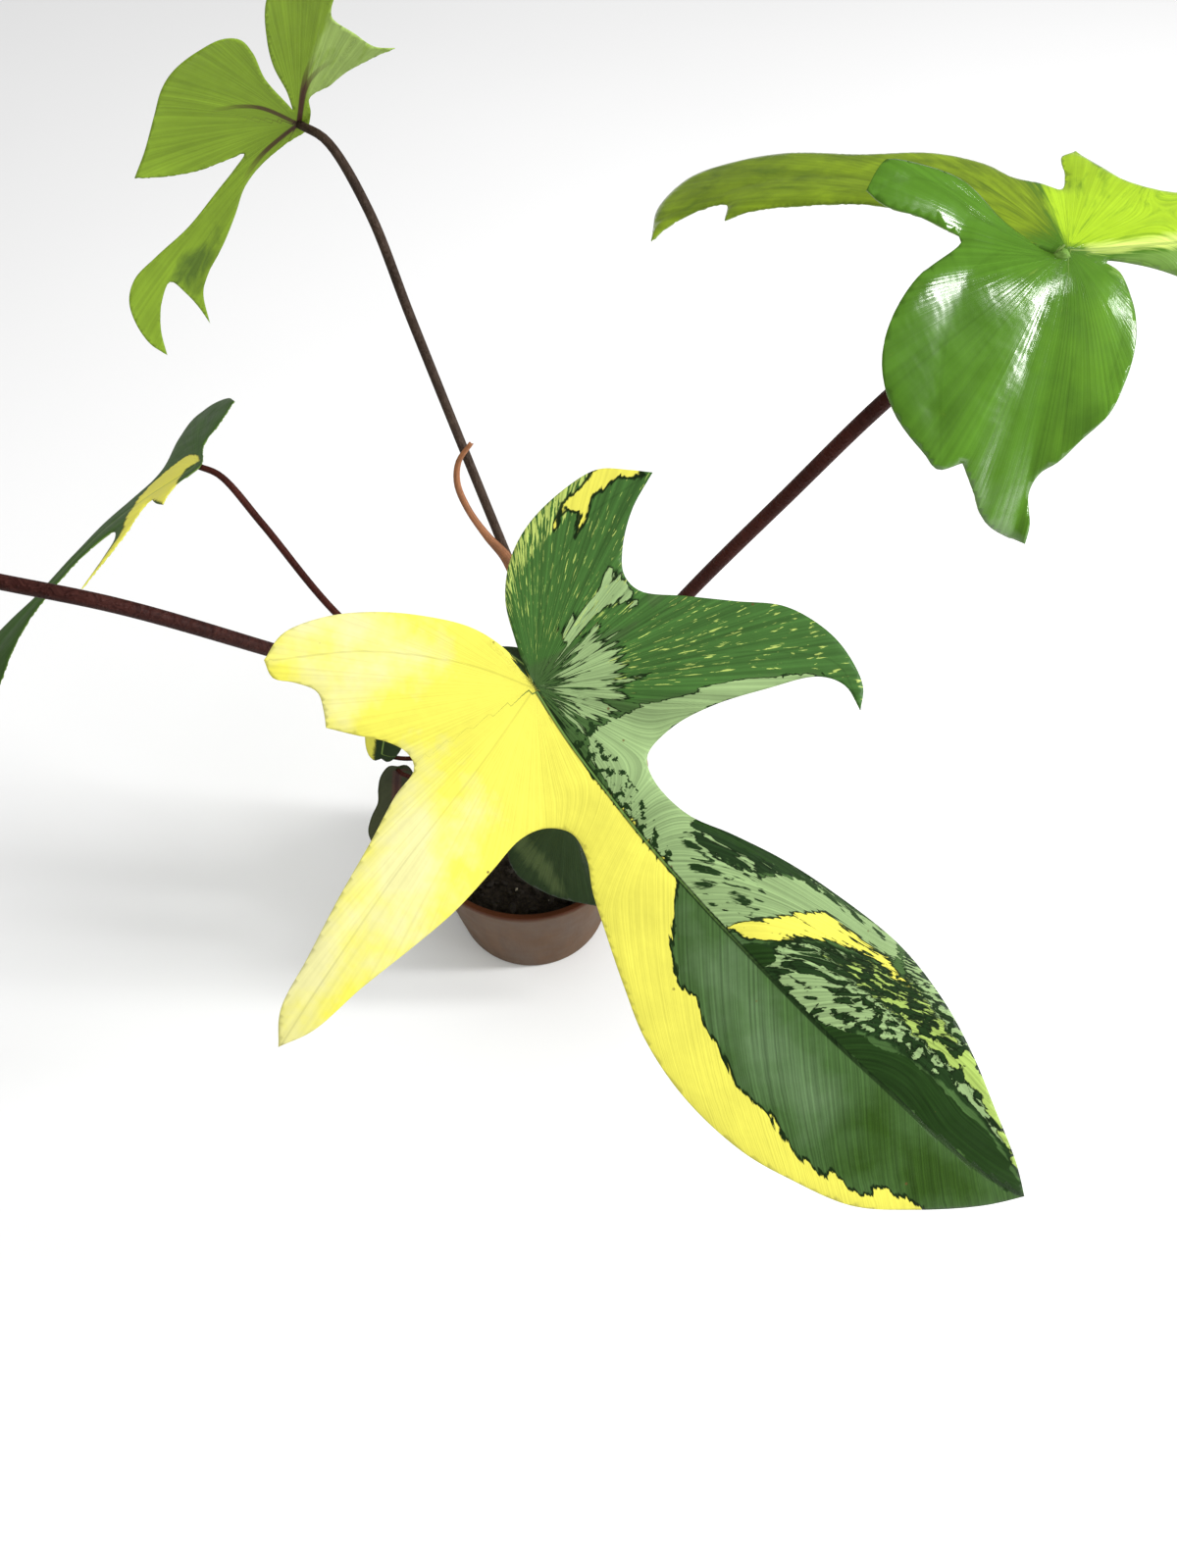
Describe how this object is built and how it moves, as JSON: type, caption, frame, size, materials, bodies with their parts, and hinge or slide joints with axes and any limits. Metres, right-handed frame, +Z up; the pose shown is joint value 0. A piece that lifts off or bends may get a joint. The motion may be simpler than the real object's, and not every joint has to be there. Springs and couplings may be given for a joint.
{
  "type": "potted florida beauty philodendron",
  "caption": "Climbing aroid house plant with large, deeply lobed leaves variegated yellow, mint and dark green on dark red petioles, in a small round brown nursery pot.",
  "frame": {"origin": "centre of the pot's flat foot", "axes": "+Z up from the pot's foot, -Y the side that the largest leaf faces, +X to its right"},
  "size_m": [0.6361, 0.4415, 0.4867],
  "materials": {
    "pot": "satin",
    "soil": "matte",
    "stem": "matte",
    "petiole": "satin",
    "variegated_leaf": "satin",
    "glossy_leaf": "gloss",
    "pale_underside": "satin",
    "dry_sheath": "matte"
  },
  "bodies": {
    "root": {"pot": "pot", "soil": "soil", "stem": "stem", "leaf_1_petiole": "petiole", "leaf_1_blade": "variegated_leaf", "leaf_2_petiole": "petiole", "leaf_2_blade": "glossy_leaf", "leaf_3_petiole": "petiole", "leaf_3_blade": "pale_underside", "leaf_4_petiole": "petiole", "leaf_4_blade": "variegated_leaf", "leaf_5_petiole": "petiole", "leaf_5_blade": "glossy_leaf", "leaf_6_petiole": "petiole", "leaf_6_blade": "glossy_leaf", "leaf_7_petiole": "petiole", "leaf_7_blade": "glossy_leaf", "leaf_8_petiole": "petiole", "leaf_8_blade": "glossy_leaf", "leaf_9_petiole": "petiole", "leaf_9_blade": "glossy_leaf", "cataphyll_1": "dry_sheath", "cataphyll_2": "dry_sheath"}
  },
  "joints": []
}
